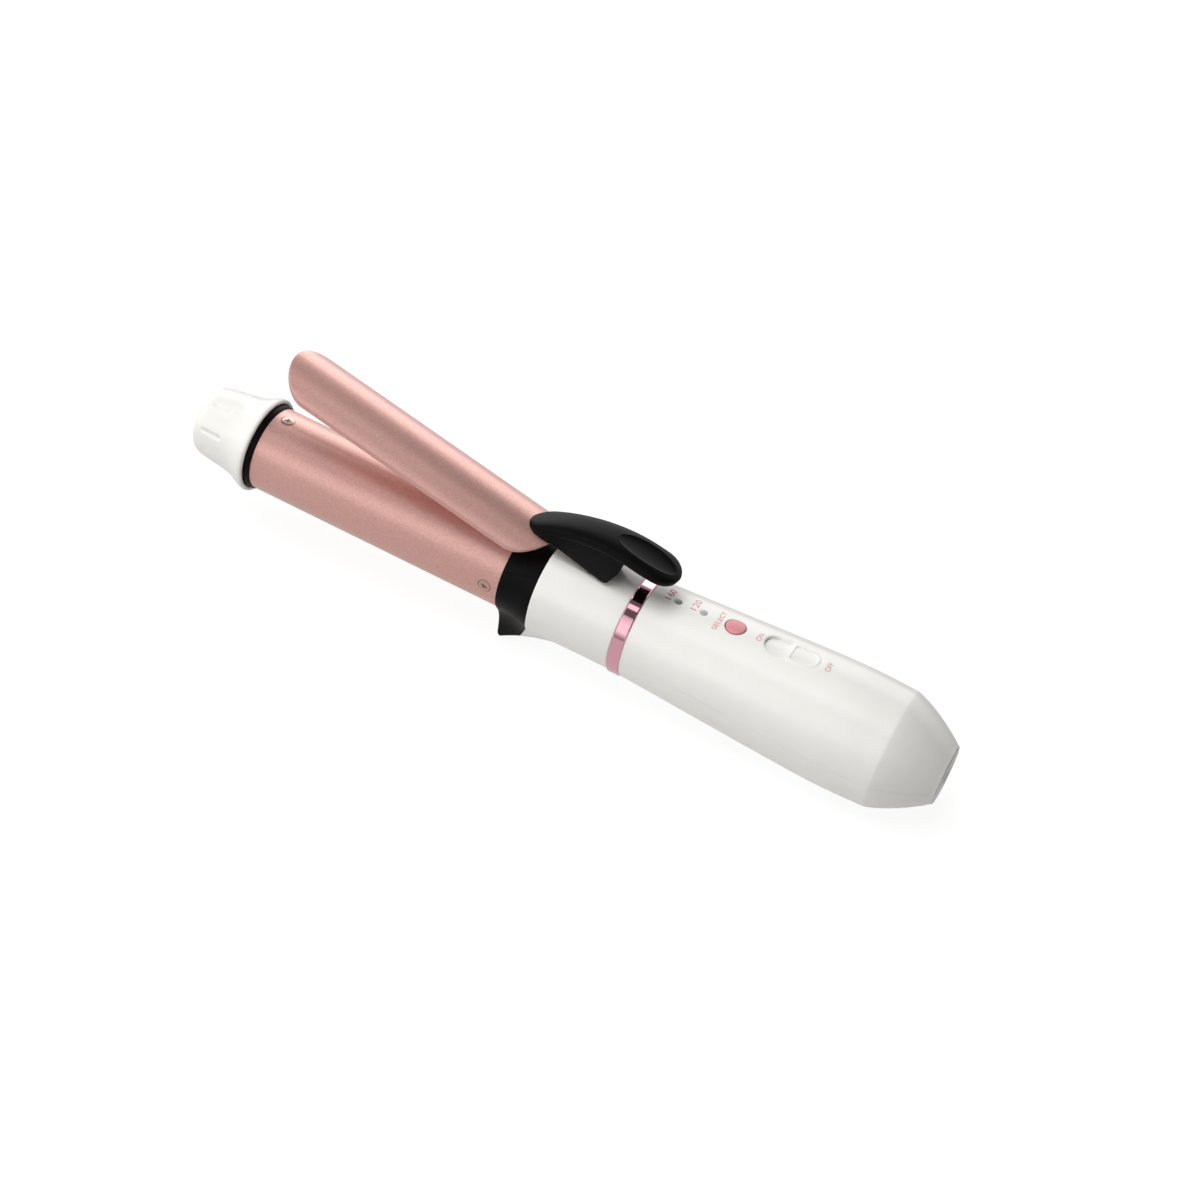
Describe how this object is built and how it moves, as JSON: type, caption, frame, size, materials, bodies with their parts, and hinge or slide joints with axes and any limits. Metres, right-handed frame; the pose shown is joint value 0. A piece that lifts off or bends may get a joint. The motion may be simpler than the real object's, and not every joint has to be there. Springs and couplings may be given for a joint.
{
  "type": "curling iron",
  "caption": "Clamp-type curling iron with a round heated barrel, sprung clamp with a thumb lever, collar with a stand foot and a tapered round handle.",
  "frame": {"origin": "centre of the cord inlet's mouth in the handle's rear end face, on the barrel axis", "axes": "+X along the barrel axis from the handle to the tip, +Z towards the thumb lever and the control panel, +Y to the left seen from behind the handle"},
  "size_m": [0.2484, 0.0368, 0.0626],
  "materials": {
    "white_shell": "satin gloss moulding",
    "black_resin": "fine matt moulding, heat resistant",
    "rose_coat": "satin metallic rose-gold coating on aluminium",
    "pink_mirror": "mirror bright, pink tinted vacuum plating",
    "pink_button": "satin metallic pink moulding",
    "bright_steel": "plated steel",
    "heater_aluminium": "extruded, uncoated",
    "sensor_glass": "coated bead and sleeved wires",
    "fuse_ceramic": "glazed ceramic case",
    "lead_sleeve": "woven glass sleeve",
    "block_resin": "moulded heat-resistant resin",
    "board_laminate": "glass-epoxy laminate with solder mask",
    "switch_resin": "moulded resin",
    "switch_moving": "moulded resin",
    "clear_resin": "clear moulding",
    "film_coating": "dipped epoxy"
  },
  "bodies": {
    "iron": {"tip_cap": "white_shell", "tip_plug": "black_resin", "barrel_tube": "rose_coat", "barrel_screws": "bright_steel", "heat_spreader_upper": "heater_aluminium", "heat_spreader_lower": "heater_aluminium", "ptc_heater": "heater_aluminium", "heater_spring": "bright_steel", "thermistor": "sensor_glass", "thermal_fuse": "fuse_ceramic", "heater_leads": "lead_sleeve", "terminal_block": "block_resin", "collar": "black_resin", "front_housing": "white_shell", "trim_ring": "pink_mirror", "hinge_pin": "bright_steel", "torsion_spring": "bright_steel", "handle_upper": "white_shell", "handle_lower": "white_shell", "handle_screws": "bright_steel", "circuit_board": "board_laminate", "board_screws": "bright_steel", "button_switch": "switch_resin", "slide_switch": "switch_resin", "light_pipes": "clear_resin", "leds": "clear_resin", "capacitor": "film_coating", "triac": "switch_resin"},
    "clamp_arm": {"clamp_plate": "rose_coat", "lever": "black_resin", "clamp_rivets": "bright_steel"},
    "select": {"select_button": "pink_button", "switch_plunger": "switch_moving"},
    "power": {"slide_knob": "white_shell", "slide_actuator": "switch_moving"},
    "bush": {"cord_bush": "white_shell"}
  },
  "joints": [
    {"name": "clamp_hinge", "type": "hinge", "parent": "iron", "child": "clamp_arm", "pos_m": [0.1103, 0, 0.018], "axis": [0, -1, 0], "range_deg": [-12.5, 7.5], "stiffness_Nm_per_rad": 0.2, "springref_deg": -26.93},
    {"name": "select_press", "type": "slide", "parent": "iron", "child": "select", "axis": [0, 0, -1], "range_m": [0, 0.0006], "stiffness_N_per_m": 400},
    {"name": "power_slide", "type": "slide", "parent": "iron", "child": "power", "axis": [0.9987, 0, -0.051], "range_m": [0, 0.0055]},
    {"name": "cord_swivel", "type": "hinge", "parent": "iron", "child": "bush", "pos_m": [0, 0, 0], "axis": [1, 0, 0], "continuous": true}
  ]
}
